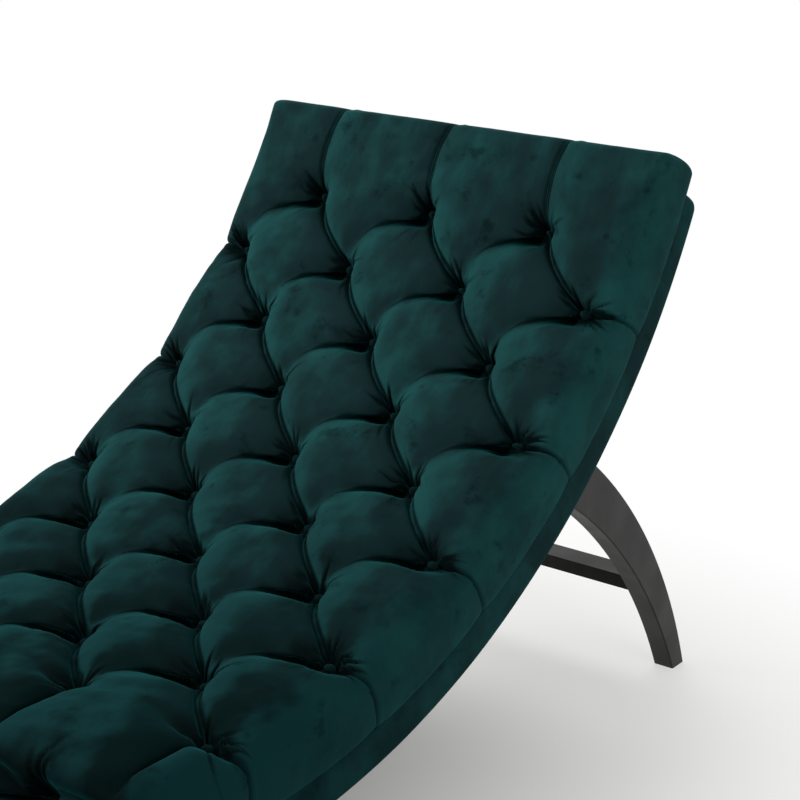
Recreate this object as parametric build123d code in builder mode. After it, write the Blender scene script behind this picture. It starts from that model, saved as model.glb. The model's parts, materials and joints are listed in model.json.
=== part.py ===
from build123d import *
from math import cos, radians, sin, sqrt
import os

# A chaise longue: one curved upholstered body on two pairs of sabre legs.
# X runs across the body, Y runs from the foot end to the head end, Z is up.
# The origin is on the floor, in the middle of the outline seen from above.
# Sizes are in millimetres and slopes in degrees.

# The line through the buttons, seen from the side, in four arcs from head to foot
back_radius = 883.0
knee_radius = 150.0
shin_radius = 260.0
foot_radius = 1500.0
head_slope = 63.6
seat_slope = -3.0
knee_slope = 38.0
shin_slope = 5.0
foot_slope = -9.5
seat_button_height = 286.0
body_width = 667.0

# Layers of the body, measured square to that line; below it they get thinner towards the head
crown = 28.0
seam_depth = 70.0
deck_thickness = 8.0
rail_depth = 36.0
band_lip = 2.0
soft_gap = 0.3
head_setback = 28.0
taper_length = 780.0
taper_share = 0.24
taper_bend_share = 1.25
taper_steps = 6

# Tufting
column_pitch = 186.0
back_row_count = 10
foot_row_count = 5
head_margin = 128.0
fold_margin = 98.5
fold_drop = 27.0
foot_margin = 129.0
fold_share = 0.807

# Tufted cover and foam core
seam_inset = 9.0
bulge_drop = 30.0
shoulder = 8.0
shoulder_drop = 10.0
end_radius = 12.0
fold_lift = 20.0
channel_lift = 5.0
tuck_flat = 10.0
cover_wall = 15.0
head_wall = 30.0
ceiling_drop = 16.0
foam_gap = 0.6
twine_hole = 2.6

# Buttons, twine and clips
button_radius = 9.0
button_height = 6.5
button_edge = 2.0
twine_radius = 1.0
clip_radius = 8.0
clip_thickness = 2.0
clip_recess = 2.6
clip_fit = 0.1
deck_hole = 3.0

# Velvet band and dust cover
velvet = 2.4
band_corner = 16.0
dust_cloth = 1.2
dust_slit = 1.5

# Frame
rail_thickness = 22.0
cross_rail_width = 22.0
seat_rail_share = 0.62
corner_block_leg = 40.0
corner_block_height = 20.0
dowel_radius = 4.0
dowel_length = 30.0
dowel_spacing = 15.0
dowel_fit = 0.1

# Legs
leg_inset = 54.5
leg_thickness = 31.0
leg_edge = 1.6
rear_foot_reach = 966.0
rear_foot_width = 31.0
rear_outer_radius = 815.0
rear_outer_drop = 253.0
rear_inner_radius = 824.0
rear_inner_drop = 341.0
front_foot_reach = 592.0
front_foot_width = 29.0
front_outer_radius = 290.0
front_outer_drop = 90.0
front_inner_radius = 293.0
front_inner_drop = 150.0
leg_top_gap = 1.0
leg_overlap = 6.0
crossing_tolerance = 0.0001

# Leg blocks and their bolts, washers, inserts and screws
block_overhang = 34.0
bolt_radius = 4.0
bolt_spacing = 30.0
bolt_clearance = 0.4
bolt_head_radius = 7.0
bolt_head_height = 4.4
bolt_tip = 14.0
socket_radius = 2.8
socket_depth = 3.0
washer_radius = 10.0
washer_thickness = 2.0
insert_radius = 6.0
insert_length = 16.0
insert_fit = 0.1
screw_radius = 2.5
screw_head_radius = 5.0
screw_head_height = 3.0
screw_bite = 15.0
screw_fit = 0.1
screw_edge = 14.0

# Stretchers
rear_stretcher_depth = 41.0
rear_stretcher_height = 19.5
rear_stretcher_lift = 146.0
front_stretcher_depth = 33.0
front_stretcher_height = 19.5
front_stretcher_lift = 34.0
stretcher_edge = 1.0
stretcher_dowel_radius = 5.0
stretcher_dowel_bite = 24.0
stretcher_dowel_spacing = 16.0

# Glides
glide_radius = 11.0
glide_proud = 1.0
glide_recess = 2.0
glide_fit = 0.2
nail_radius = 1.2
nail_length = 16.0
nail_cover = 0.8
nail_fit = 0.1

overrun = 40.0


# The side view as a list of arcs: start along the line, signed radius, slopes, centre
slopes = [radians(slope) for slope in (head_slope, seat_slope, knee_slope, shin_slope, foot_slope)]
radii = [back_radius, -knee_radius, shin_radius, foot_radius]


def trace_line(seat_y):
    """The four arcs of the button line, with the middle of the back arc at seat_y."""
    arcs = []
    start = 0.0
    center_y = seat_y
    center_z = seat_button_height + back_radius
    for index, radius in enumerate(radii):
        first, last = slopes[index], slopes[index + 1]
        if index:
            center_y += (radii[index - 1] - radius) * sin(first)
            center_z -= (radii[index - 1] - radius) * cos(first)
        arcs.append((start, radius, first, last, center_y, center_z))
        start += radius * (first - last)
    return arcs, start


line_arcs, line_length = trace_line(0.0)


def slope_at(travel):
    """The slope of the button line at a distance along it from the head end, in radians."""
    arc = [item for item in line_arcs if item[0] <= travel or item[0] == 0.0][-1]
    return arc[2] - (travel - arc[0]) / arc[1]


def level(travel, height):
    """A height as it is at a distance along the line: depths below the line taper to the head."""
    if height > 0 or travel > taper_length:
        return height
    return height * (1 - taper_share * (1 - travel / taper_length) ** taper_bend_share)


def place(travel, height=0.0, lift=0.0):
    """The side view's Y and Z at a distance along the line and a height above it."""
    arc = [item for item in line_arcs if item[0] <= travel or item[0] == 0.0][-1]
    turn = slope_at(travel)
    height = level(travel, height) + lift
    return arc[4] + (arc[1] - height) * sin(turn), arc[5] - (arc[1] - height) * cos(turn)


# The body is moved along Y until the outline seen from above is centred on the origin
band_bottom = -(seam_depth + deck_thickness + rail_depth + band_lip)
foot_end_y = place(line_length, band_bottom)[0]
seat_y = -(foot_end_y + rear_foot_reach) / 2
line_arcs, line_length = trace_line(seat_y)


def section_plane(travel):
    """The plane across the body at a distance along the line: X across, Y out of the seat."""
    y, z = place(travel)
    turn = slope_at(travel)
    return Plane(origin=(0, y, z), x_dir=(1, 0, 0), z_dir=(0, -cos(turn), -sin(turn)))


def curve_edges(start, end, height):
    """Arcs along the body from one distance to another, at one height."""
    breaks = [arc[0] for arc in line_arcs]
    breaks += [taper_length * step / taper_steps for step in range(1, taper_steps + 1)]
    stops = [start] + [stop for stop in breaks if min(start, end) < stop < max(start, end)]
    stops = sorted(stops + [end], reverse=start > end)
    for first, last in zip(stops, stops[1:]):
        middle = (first + last) / 2
        ThreePointArc(place(first, height), place(middle, height), place(last, height))


def layer(start, end, low, high, side=0.0):
    """The outline of a layer of the body between two distances and two heights."""
    with BuildSketch(Plane.YZ.offset(side)) as outline:
        with BuildLine():
            curve_edges(start, end, high)
            Line(place(end, high), place(end, low))
            curve_edges(end, start, low)
            Line(place(start, low), place(start, high))
        make_face()
    return outline.sketch


# Rows of buttons: distance along the line and the columns across
line_end = line_length
fold_travel = line_arcs[1][0] + fold_share * (line_arcs[2][0] - line_arcs[1][0])
back_pitch = (fold_travel - fold_margin - head_margin) / (back_row_count - 1)
foot_start = fold_travel + fold_drop
foot_pitch = (line_end - foot_margin - foot_start) / (foot_row_count - 1)
back_rows = [head_margin + back_pitch * index for index in range(back_row_count)]
foot_rows = [foot_start + foot_pitch * index for index in range(foot_row_count)]
odd_columns = (-1.0, 0.0, 1.0)
even_columns = (-1.5, -0.5, 0.5, 1.5)
half_column = 0.5
body_side = body_width / 2


# How the swellings between the channels fill out, as shares of their length, width and height
step_shares = (0.25, 0.5, 0.75)
tuck_share = 0.1
flat_share = 0.03
fold_steps = 8
fold_thin_share = 0.3
end_shares = ((0.0, 0.25), (0.05, 0.5), (0.35, 0.93), (0.6, 1.0))
foot_wall_share = 0.7
head_wall_share = 0.86


def fullness(share):
    """How full a swelling is where its width is this share of its widest."""
    return max(flat_share, sqrt(share * (2 - share)))


def end_stations(edge, row, wall, wall_full):
    """Sections of the cover from an end of the body to its nearest row of buttons."""
    toward = 1 if row > edge else -1
    found = [(edge + (row - edge) * along, 0.0, full, 0.0) for along, full in end_shares]
    found.insert(2, (edge + toward * wall, 0.0, wall_full, 0.0))
    return found


def fold_stations(row, spread, steps):
    """Sections of the cover from a row of buttons to the fold over the knee."""
    found = []
    for step in range(1, steps):
        along = step / steps
        full = 1 - fold_thin_share * along ** 3
        found.append((row + (fold_travel - row) * along, spread, full, fold_lift * along))
    return found


def row_stations(rows):
    """Sections of the cover over the rows of buttons of one panel."""
    found = []
    for index, row in enumerate(rows):
        spread = float(index % 2)
        found += [(row - tuck_flat, spread, 1.0, 0.0), (row + tuck_flat, spread, 1.0, 0.0)]
        if index + 1 < len(rows):
            start, end = row + tuck_flat, rows[index + 1] - tuck_flat
            for step in step_shares:
                found.append((start + (end - start) * step, abs(spread - step), 1.0, 0.0))
    return found


def cover_outline(travel, spread, full, lift, hollow):
    """The section of the cover: swellings on top, bowed sides, and the hollow for the foam."""
    edge = min(travel, line_length - travel)
    rounding = end_radius * max(0.0, 1 - edge / (2 * end_radius)) ** 2
    reach = column_pitch * half_column * (tuck_share + (1 - 2 * tuck_share) * spread)
    channels = [column * column_pitch + turn * reach for column in odd_columns for turn in (-1, 1)]
    side = body_side - rounding
    rest = lift + channel_lift * (1 - abs(2 * spread - 1)) - rounding
    crest = [(-side + shoulder, rest - shoulder_drop)]
    crest += [(across, rest) for across in channels]
    crest += [(side - shoulder, rest - shoulder_drop)]
    bottom, ceiling, bulge = (level(travel, depth) for depth in (cover_bottom, -ceiling_drop, -bulge_drop))
    foot_left, foot_right = (-side + seam_inset, bottom), (side - seam_inset, bottom)
    with BuildSketch(section_plane(travel)) as outline:
        with BuildLine():
            ThreePointArc(foot_left, (-side, bulge), crest[0])
            for index, (first, last) in enumerate(zip(crest, crest[1:])):
                share = spread if index % 2 else 1 - spread
                rise = fullness(share) * full * crown
                ThreePointArc(first, ((first[0] + last[0]) / 2, (first[1] + last[1]) / 2 + rise), last)
            ThreePointArc(crest[-1], (side, bulge), foot_right)
            if hollow:
                Polyline(foot_right, (hollow_side, bottom), (hollow_side, ceiling),
                         (-hollow_side, ceiling), (-hollow_side, bottom), foot_left)
            else:
                Line(foot_right, foot_left)
        make_face()
    return outline.sketch


# Heights of the layers, from the buttons down
cover_bottom = soft_gap - seam_depth
deck_top = -seam_depth
deck_bottom = deck_top - deck_thickness
rail_bottom = deck_bottom - rail_depth
band_top = deck_top - soft_gap
dust_top = rail_bottom - soft_gap
button_seat = crown * flat_share + soft_gap
clip_lift = clip_recess - clip_thickness
rail_middle = (deck_bottom + rail_bottom) / 2

# Distances across and along
hollow_side = body_side - seam_inset - cover_wall
foam_side = hollow_side - foam_gap
band_side = body_side - seam_inset
frame_side = band_side - velvet - soft_gap
rail_side = frame_side - rail_thickness
frame_start = head_setback + velvet + soft_gap
frame_end = line_length - velvet - soft_gap
frame_corner = band_corner - velvet
leg_side = body_side - leg_inset
leg_inner = leg_side - leg_thickness


def point_plane(travel, across, height=0.0, lift=0.0):
    """A plane that faces out of the seat, at a place on the body."""
    turn = slope_at(travel)
    y, z = place(travel, height, lift)
    return Plane(origin=(across, y, z), x_dir=(1, 0, 0), z_dir=(0, -sin(turn), cos(turn)))


def side_plane(travel, across, height, hand):
    """A plane that faces sideways at a place on the body, to the right or to the left."""
    return Plane(origin=(across, *place(travel, height)), x_dir=(0, hand, 0), z_dir=(hand, 0, 0))


def corner_edges(builder):
    """The four edges at the corners of a layer that spans the body."""
    return builder.edges().filter_by(GeomType.LINE).filter_by(Axis.X, reverse=True)


def row_planes(index, row, height, lift=0.0):
    """The places of the buttons of one row, at one height."""
    columns = even_columns if index % 2 else odd_columns
    return [point_plane(row, column * column_pitch, height, lift) for column in columns]


def button_planes(height, lift=0.0):
    """The places of all buttons, at one height."""
    return [plane for rows in (back_rows, foot_rows) for index, row in enumerate(rows)
            for plane in row_planes(index, row, height, lift)]


up = (Align.CENTER, Align.CENTER, Align.MIN)
down = (Align.CENTER, Align.CENTER, Align.MAX)

# Tufted velvet cover with its filling, hollow below for the foam
stations = end_stations(0.0, back_rows[0] - tuck_flat, head_wall, head_wall_share)
stations += row_stations(back_rows)
stations += fold_stations(back_rows[-1] + tuck_flat, 1.0, fold_steps)
stations += fold_stations(foot_rows[0] - tuck_flat, 0.0, 3)[::-1]
stations += row_stations(foot_rows)
stations += end_stations(line_length, foot_rows[-1] + tuck_flat, cover_wall, foot_wall_share)[::-1]
with BuildPart() as tufted_cover:
    loft([cover_outline(*station, True) for station in stations[2:-2]], ruled=True, clean=False)
    loft([cover_outline(*station, False) for station in stations[:3]], ruled=True, clean=False)
    loft([cover_outline(*station, False) for station in stations[-3:]], ruled=True, clean=False)
    with Locations(*button_planes(0.0)):
        Cylinder(twine_hole, 2 * ceiling_drop + overrun, mode=Mode.SUBTRACT)

# Foam core under the cover
with BuildPart() as foam_core:
    extrude(layer(head_wall + foam_gap, line_length - cover_wall - foam_gap, cover_bottom,
                  -ceiling_drop - foam_gap), amount=foam_side, both=True)
    with Locations(*button_planes(-seam_depth)):
        Cylinder(twine_hole, 2 * seam_depth, mode=Mode.SUBTRACT)

# One covered button, repeated at every tuft
with BuildPart() as button:
    with BuildSketch(Plane.XZ):
        with BuildLine():
            Polyline((0, button_height), (0, 0), (button_radius, 0), (button_radius, button_edge))
            dome_radius = (button_radius ** 2 + (button_height - button_edge) ** 2)
            dome_radius /= 2 * (button_height - button_edge)
            RadiusArc((button_radius, button_edge), (0, button_height), -dome_radius)
        make_face()
    revolve(axis=Axis.Z)
with BuildPart() as tuft_buttons:
    with Locations(*button_planes(button_seat)):
        add(button.part)

# Twine from each button down to its clip under the deck
with BuildPart() as button_twine:
    for rows in (back_rows, foot_rows):
        for index, row in enumerate(rows):
            with Locations(*row_planes(index, row, deck_bottom, clip_lift)):
                Cylinder(twine_radius, button_seat - level(row, deck_bottom) - clip_lift, align=up)

# Clips that hold the twine, sunk in the underside of the deck
with BuildPart() as clip:
    Cylinder(clip_radius, clip_thickness, align=up)
    Cylinder(twine_radius + clip_fit, clip_thickness, align=up, mode=Mode.SUBTRACT)
with BuildPart() as twine_clips:
    with Locations(*button_planes(deck_bottom, clip_lift)):
        add(clip.part)

# Deck panel, bent over the rails
with BuildPart() as deck_panel:
    extrude(layer(frame_start, frame_end, deck_bottom, deck_top), amount=frame_side, both=True)
    fillet(corner_edges(deck_panel), frame_corner)
    with Locations(*button_planes(deck_bottom)):
        Cylinder(deck_hole, 2 * deck_thickness + overrun, mode=Mode.SUBTRACT)
        Cylinder(clip_radius + clip_lift, 2 * clip_recess, mode=Mode.SUBTRACT)

# Velvet band around the frame
with BuildPart() as side_band:
    extrude(layer(head_setback, line_length, band_bottom, band_top), amount=band_side, both=True)
    fillet(corner_edges(side_band), band_corner)
with BuildPart() as band_inside:
    extrude(layer(head_setback + velvet, line_length - velvet, band_bottom - overrun / 2,
                  band_top + overrun / 2), amount=band_side - velvet, both=True)
    fillet(corner_edges(band_inside), frame_corner)
with side_band:
    add(band_inside.part, mode=Mode.SUBTRACT)


class Sabre:
    """The side outline of a pair of legs, between an outer and an inner arc."""

    def __init__(self, toward, reach, width, outer, inner, near, far):
        self.toward = toward
        self.outer_radius, outer_drop = outer
        self.inner_radius, inner_drop = inner
        outer_y = reach - sqrt(self.outer_radius ** 2 - outer_drop ** 2)
        inner_y = reach - width - sqrt(self.inner_radius ** 2 - inner_drop ** 2)
        self.outer_center = (seat_y + toward * outer_y, -outer_drop)
        self.inner_center = (seat_y + toward * inner_y, -inner_drop)
        self.near, self.far = near, far
        levels = (deck_bottom, rail_bottom, dust_top - dust_cloth)
        crossings = [self.meets(level, arc) for level in levels for arc in (0, 1)]
        self.start, self.end = min(crossings), max(crossings)
        self.middle = (self.start + self.end) / 2

    def meets(self, height, arc):
        """The distance along the body at which a contour crosses a height."""
        center = (self.outer_center, self.inner_center)[arc]
        radius = (self.outer_radius, self.inner_radius)[arc]
        near, far = self.near, self.far
        while abs(far - near) > crossing_tolerance:
            middle = (near + far) / 2
            y, z = place(middle, height)
            inside = (y - center[0]) ** 2 + (z - center[1]) ** 2 < radius ** 2
            near, far = (middle, far) if inside else (near, middle)
        return near

    def reach_at(self, z, arc):
        """The Y of a contour at a height above the floor."""
        center = (self.outer_center, self.inner_center)[arc]
        radius = (self.outer_radius, self.inner_radius)[arc]
        return center[0] + self.toward * sqrt(radius ** 2 - (z - center[1]) ** 2)

    def contour(self, arc):
        """Three points of a contour, from the foot up into the body."""
        top = place(self.meets(deck_bottom + leg_overlap, arc), deck_bottom + leg_overlap)
        foot = (self.reach_at(glide_proud, arc), glide_proud)
        middle_z = (foot[1] + top[1]) / 2
        return foot, (self.reach_at(middle_z, arc), middle_z), top


rear = Sabre(1, rear_foot_reach, rear_foot_width, (rear_outer_radius, rear_outer_drop),
             (rear_inner_radius, rear_inner_drop), back_radius * slopes[0], 0.0)
front = Sabre(-1, front_foot_reach, front_foot_width, (front_outer_radius, front_outer_drop),
              (front_inner_radius, front_inner_drop), line_arcs[3][0], line_length)


def sabre_leg(shape):
    """The right leg of a pair, with its bolt holes, dowel holes and the seat of its glide."""
    outer, inner = shape.contour(0), shape.contour(1)
    with BuildPart() as leg:
        with BuildSketch(Plane.YZ.offset(leg_inner)):
            with BuildLine():
                ThreePointArc(*outer)
                Line(outer[2], inner[2])
                ThreePointArc(*inner)
                Line(inner[0], outer[0])
            make_face()
        extrude(amount=leg_thickness)
        groups = leg.edges().group_by(Axis.X)
        arcs = (groups[0] + groups[-1]).filter_by(GeomType.CIRCLE)
        sizes = (shape.outer_radius, shape.inner_radius)
        chamfer([edge for edge in arcs if min(abs(edge.radius - size) for size in sizes) < soft_gap],
                leg_edge)
        extrude(room_above(shape), amount=leg_thickness, mode=Mode.SUBTRACT)
        with Locations(*bolt_planes(shape, leg_inner)):
            Cylinder(bolt_radius + bolt_clearance, leg_thickness, align=up, mode=Mode.SUBTRACT)
        with Locations(*stretcher_planes(shape, 1)):
            Cylinder(stretcher_dowel_radius + dowel_fit, stretcher_dowel_bite + dowel_fit, align=up,
                     mode=Mode.SUBTRACT)
        with Locations((leg_side - leg_thickness / 2, foot_y(shape), 0)):
            Cylinder(glide_radius + glide_fit, glide_proud + glide_recess, align=up, mode=Mode.SUBTRACT)
            Cylinder(nail_radius + nail_fit, nail_cover + nail_length + nail_fit, align=up,
                     mode=Mode.SUBTRACT)
    return leg.part


def room_above(shape):
    """The side view of the room over the top of a leg, where the deck and the pad lie."""
    low = deck_bottom - leg_top_gap
    return layer(shape.start - overrun, shape.end + overrun, low, low + overrun, side=leg_inner)


def foot_y(shape):
    """The middle of a foot, front to back."""
    return (shape.reach_at(0, 0) + shape.reach_at(0, 1)) / 2


def bolt_planes(shape, across, hand=1):
    """The axes of the two bolts of a leg, starting at a distance across."""
    return [side_plane(shape.middle + turn * bolt_spacing / 2, hand * across, rail_middle, hand)
            for turn in (-1, 1)]


def screw_planes(shape, across, hand=1):
    """The axes of the two screws of a leg block, starting at a distance across."""
    places = (shape.start - block_overhang + screw_edge, shape.end + block_overhang - screw_edge)
    return [side_plane(travel, hand * across, rail_middle, hand) for travel in places]


stretcher_sizes = {rear: (rear_stretcher_depth, rear_stretcher_height, rear_stretcher_lift),
                   front: (front_stretcher_depth, front_stretcher_height, front_stretcher_lift)}


def stretcher_middle(shape):
    """The middle of a stretcher's end, seen from the side: its outer top edge is on the contour."""
    depth, height, lift = stretcher_sizes[shape]
    outer_y = shape.reach_at(lift + height, 0)
    return outer_y - shape.toward * depth / 2, lift + height / 2


def stretcher_planes(shape, hand):
    """The axes of the two dowels at one end of a stretcher, starting at the leg's inner face."""
    y, z = stretcher_middle(shape)
    return [Plane(origin=(hand * leg_inner, y + turn * stretcher_dowel_spacing / 2, z),
                  x_dir=(0, hand, 0), z_dir=(hand, 0, 0)) for turn in (-1, 1)]


def stretcher(shape):
    """The rail between the two legs of a pair."""
    depth, height, lift = stretcher_sizes[shape]
    y, z = stretcher_middle(shape)
    with BuildPart() as rail:
        with Locations((0, y, z)):
            Box(2 * leg_inner, depth, height)
        chamfer(rail.edges().filter_by(Axis.X), stretcher_edge)
        with Locations(*stretcher_planes(shape, 1), *stretcher_planes(shape, -1)):
            Cylinder(stretcher_dowel_radius + dowel_fit, stretcher_dowel_bite + dowel_fit, align=down,
                     mode=Mode.SUBTRACT)
    return rail.part


def leg_block(shape):
    """The right block that fills the space between a leg and the side rail."""
    with BuildPart() as block:
        extrude(layer(shape.start - block_overhang, shape.end + block_overhang, rail_bottom, deck_bottom,
                      side=leg_side), amount=rail_side - leg_side)
        with Locations(*bolt_planes(shape, leg_side)):
            Cylinder(insert_radius, insert_length, align=up, mode=Mode.SUBTRACT)
        with Locations(*screw_planes(shape, leg_side)):
            Cylinder(screw_radius + screw_fit, rail_side - leg_side, align=up, mode=Mode.SUBTRACT)
            Cone(screw_head_radius + screw_fit, screw_radius + screw_fit, screw_head_height, align=up,
                 mode=Mode.SUBTRACT)
    return block.part


# Cross rails between the side rails, as distances to their head side
cross_rails = {
    "head_rail": frame_start,
    "rear_leg_rail_upper": rear.start - block_overhang - cross_rail_width,
    "rear_leg_rail_lower": rear.end + block_overhang,
    "seat_rail": fold_travel * seat_rail_share,
    "knee_rail": fold_travel - cross_rail_width / 2,
    "front_leg_rail_upper": front.start - block_overhang - cross_rail_width,
    "front_leg_rail_lower": front.end + block_overhang,
    "foot_rail": frame_end - cross_rail_width,
}


def rail_dowel_planes(start, hand):
    """The axes of the two dowels at one end of a cross rail, at the side rail's inner face."""
    return [side_plane(start + cross_rail_width / 2, hand * rail_side,
                       rail_middle + turn * dowel_spacing / 2, hand) for turn in (-1, 1)]


def cross_rail(start):
    """A rail across the frame, with dowel holes in both ends."""
    with BuildPart() as rail:
        extrude(layer(start, start + cross_rail_width, rail_bottom, deck_bottom), amount=rail_side,
                both=True)
        with Locations(*rail_dowel_planes(start, 1), *rail_dowel_planes(start, -1)):
            Cylinder(dowel_radius + dowel_fit, dowel_length / 2 + dowel_fit, align=down,
                     mode=Mode.SUBTRACT)
    return rail.part


# Side rail, right: it carries the deck and takes the cross rails and the leg blocks
with BuildPart() as side_rail:
    extrude(layer(frame_start, frame_end, rail_bottom, deck_bottom, side=rail_side),
            amount=rail_thickness)
    outer_corners = corner_edges(side_rail).group_by(Axis.X)[-1]
    fillet(outer_corners, frame_corner)
    for start in cross_rails.values():
        with Locations(*rail_dowel_planes(start, 1)):
            Cylinder(dowel_radius + dowel_fit, dowel_length / 2 + dowel_fit, align=up,
                     mode=Mode.SUBTRACT)
    for shape in (rear, front):
        with Locations(*screw_planes(shape, rail_side)):
            Cylinder(screw_radius + screw_fit, screw_bite + screw_fit, align=up, mode=Mode.SUBTRACT)

# Glued corner blocks at the head and the foot of the frame
with BuildPart() as corner_blocks:
    inner_ends = ((frame_start + cross_rail_width, -1), (frame_end - cross_rail_width, 1))
    for travel, toward in inner_ends:
        for hand in (-1, 1):
            with BuildSketch(point_plane(travel, hand * rail_side, deck_bottom)):
                Polygon((0, 0), (-hand * corner_block_leg, 0), (0, toward * corner_block_leg),
                        align=None)
            extrude(amount=-corner_block_height)

# Dowels between the cross rails and the side rails
with BuildPart() as rail_dowels:
    for start in cross_rails.values():
        with Locations(*rail_dowel_planes(start, 1), *rail_dowel_planes(start, -1)):
            Cylinder(dowel_radius, dowel_length)

# Dowels between the stretchers and the legs
with BuildPart() as stretcher_dowels:
    for shape in (rear, front):
        with Locations(*stretcher_planes(shape, 1), *stretcher_planes(shape, -1)):
            Cylinder(stretcher_dowel_radius, 2 * stretcher_dowel_bite)

# Leg bolts with their washers and the threaded inserts in the blocks
with BuildPart() as bolt:
    Cylinder(bolt_radius, washer_thickness + leg_thickness + bolt_tip, align=up)
    Cylinder(bolt_head_radius, bolt_head_height, align=down)
    with BuildSketch(Plane.XY.offset(-bolt_head_height)):
        RegularPolygon(socket_radius, 6)
    extrude(amount=socket_depth, mode=Mode.SUBTRACT)
with BuildPart() as washer:
    Cylinder(washer_radius, washer_thickness, align=up)
    Cylinder(bolt_radius + bolt_clearance, washer_thickness, align=up, mode=Mode.SUBTRACT)
with BuildPart() as insert:
    Cylinder(insert_radius, insert_length, align=up)
    Cylinder(bolt_radius + insert_fit, insert_length, align=up, mode=Mode.SUBTRACT)
with BuildPart() as leg_bolts:
    for shape in (rear, front):
        for hand in (-1, 1):
            with Locations(*bolt_planes(shape, leg_inner - washer_thickness, hand)):
                add(bolt.part)
with BuildPart() as leg_washers:
    for shape in (rear, front):
        for hand in (-1, 1):
            with Locations(*bolt_planes(shape, leg_inner - washer_thickness, hand)):
                add(washer.part)
with BuildPart() as leg_inserts:
    for shape in (rear, front):
        for hand in (-1, 1):
            with Locations(*bolt_planes(shape, leg_side, hand)):
                add(insert.part)

# Screws through the leg blocks into the side rails
with BuildPart() as screw:
    Cylinder(screw_radius, rail_side - leg_side + screw_bite, align=up)
    Cone(screw_head_radius, screw_radius, screw_head_height, align=up)
with BuildPart() as block_screws:
    for shape in (rear, front):
        for hand in (-1, 1):
            with Locations(*screw_planes(shape, leg_side, hand)):
                add(screw.part)

# Dust cover under the frame, slit for the legs
with BuildPart() as dust_cover:
    extrude(layer(frame_start, frame_end, dust_top - dust_cloth, dust_top), amount=frame_side, both=True)
    fillet(corner_edges(dust_cover), frame_corner)
    for shape in (rear, front):
        for hand in (-1, 1):
            slit_side = hand * (leg_side - leg_thickness / 2) - leg_thickness / 2 - dust_slit
            extrude(layer(shape.start - dust_slit, shape.end + dust_slit, dust_top - 2 * dust_cloth,
                          dust_top + dust_cloth, side=slit_side), amount=leg_thickness + 2 * dust_slit,
                    mode=Mode.SUBTRACT)

# Glides let into the feet, each held by a nail
foot_places = [(hand * (leg_side - leg_thickness / 2), foot_y(shape), 0)
               for shape in (rear, front) for hand in (-1, 1)]
with BuildPart() as glides:
    with Locations(*foot_places):
        Cylinder(glide_radius, glide_proud + glide_recess, align=up)
        with Locations((0, 0, nail_cover)):
            Cylinder(nail_radius + nail_fit, glide_proud + glide_recess, align=up, mode=Mode.SUBTRACT)
with BuildPart() as glide_nails:
    with Locations(*foot_places):
        with Locations((0, 0, nail_cover)):
            Cylinder(nail_radius, nail_length, align=up)


# Every piece under the name of its node, and one file for each
pieces = {
    "tufted_cover": tufted_cover.part,
    "foam_core": foam_core.part,
    "tuft_buttons": tuft_buttons.part,
    "button_twine": button_twine.part,
    "twine_clips": twine_clips.part,
    "deck_panel": deck_panel.part,
    "side_band": side_band.part,
    "dust_cover": dust_cover.part,
    "corner_blocks": corner_blocks.part,
    "rail_dowels": rail_dowels.part,
    "stretcher_dowels": stretcher_dowels.part,
    "leg_bolts": leg_bolts.part,
    "leg_washers": leg_washers.part,
    "leg_inserts": leg_inserts.part,
    "block_screws": block_screws.part,
    "glides": glides.part,
    "glide_nails": glide_nails.part,
    "rear_stretcher": stretcher(rear),
    "front_stretcher": stretcher(front),
}
for name, start in cross_rails.items():
    pieces[name] = cross_rail(start)
handed = {"side_rail": side_rail.part, "rear_leg": sabre_leg(rear), "front_leg": sabre_leg(front),
          "rear_leg_block": leg_block(rear), "front_leg_block": leg_block(front)}
for name, right in handed.items():
    pieces[name + "_right"] = right
    pieces[name + "_left"] = mirror(right, about=Plane.YZ)

os.makedirs("parts", exist_ok=True)
for name, piece in pieces.items():
    piece.label = name
    export_step(piece, "parts/" + name + ".step")
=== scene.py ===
import json
from math import cos, pi, radians, sin, sqrt

import bpy
import numpy as np
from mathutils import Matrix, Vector


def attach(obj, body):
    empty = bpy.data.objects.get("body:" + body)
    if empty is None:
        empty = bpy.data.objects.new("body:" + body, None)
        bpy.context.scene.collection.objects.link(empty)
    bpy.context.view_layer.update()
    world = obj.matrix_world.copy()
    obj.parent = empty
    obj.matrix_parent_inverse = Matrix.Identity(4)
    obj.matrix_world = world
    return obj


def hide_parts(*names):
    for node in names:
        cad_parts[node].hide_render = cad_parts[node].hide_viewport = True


# A chaise longue in velvet, dressed over its CAD frame.
# Places on the body are in millimetres: across it, along the seat from the head end, and in height
# over the line of the seat. Meshes are in metres.

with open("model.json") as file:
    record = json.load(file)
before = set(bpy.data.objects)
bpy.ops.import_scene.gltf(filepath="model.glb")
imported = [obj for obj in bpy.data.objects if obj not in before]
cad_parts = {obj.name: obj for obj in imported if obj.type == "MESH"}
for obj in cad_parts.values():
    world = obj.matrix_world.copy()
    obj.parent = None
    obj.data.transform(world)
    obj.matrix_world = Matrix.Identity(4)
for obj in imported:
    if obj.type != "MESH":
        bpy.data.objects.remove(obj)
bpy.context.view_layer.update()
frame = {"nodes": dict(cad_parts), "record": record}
bpy.ops.object.select_all(action="DESELECT")

# Side curve of the seat, from the head end: the radii of its four arcs and the slopes where they meet
arc_radii = (883.0, -150.0, 260.0, 1500.0)
arc_slopes = tuple(radians(slope) for slope in (63.6, -3.0, 38.0, 5.0, -9.5))
button_level = 286.0
body_depth = 116.0
rear_foot_reach = 966.0
taper_length, taper_share, taper_bend = 780.0, 0.24, 1.25

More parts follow.
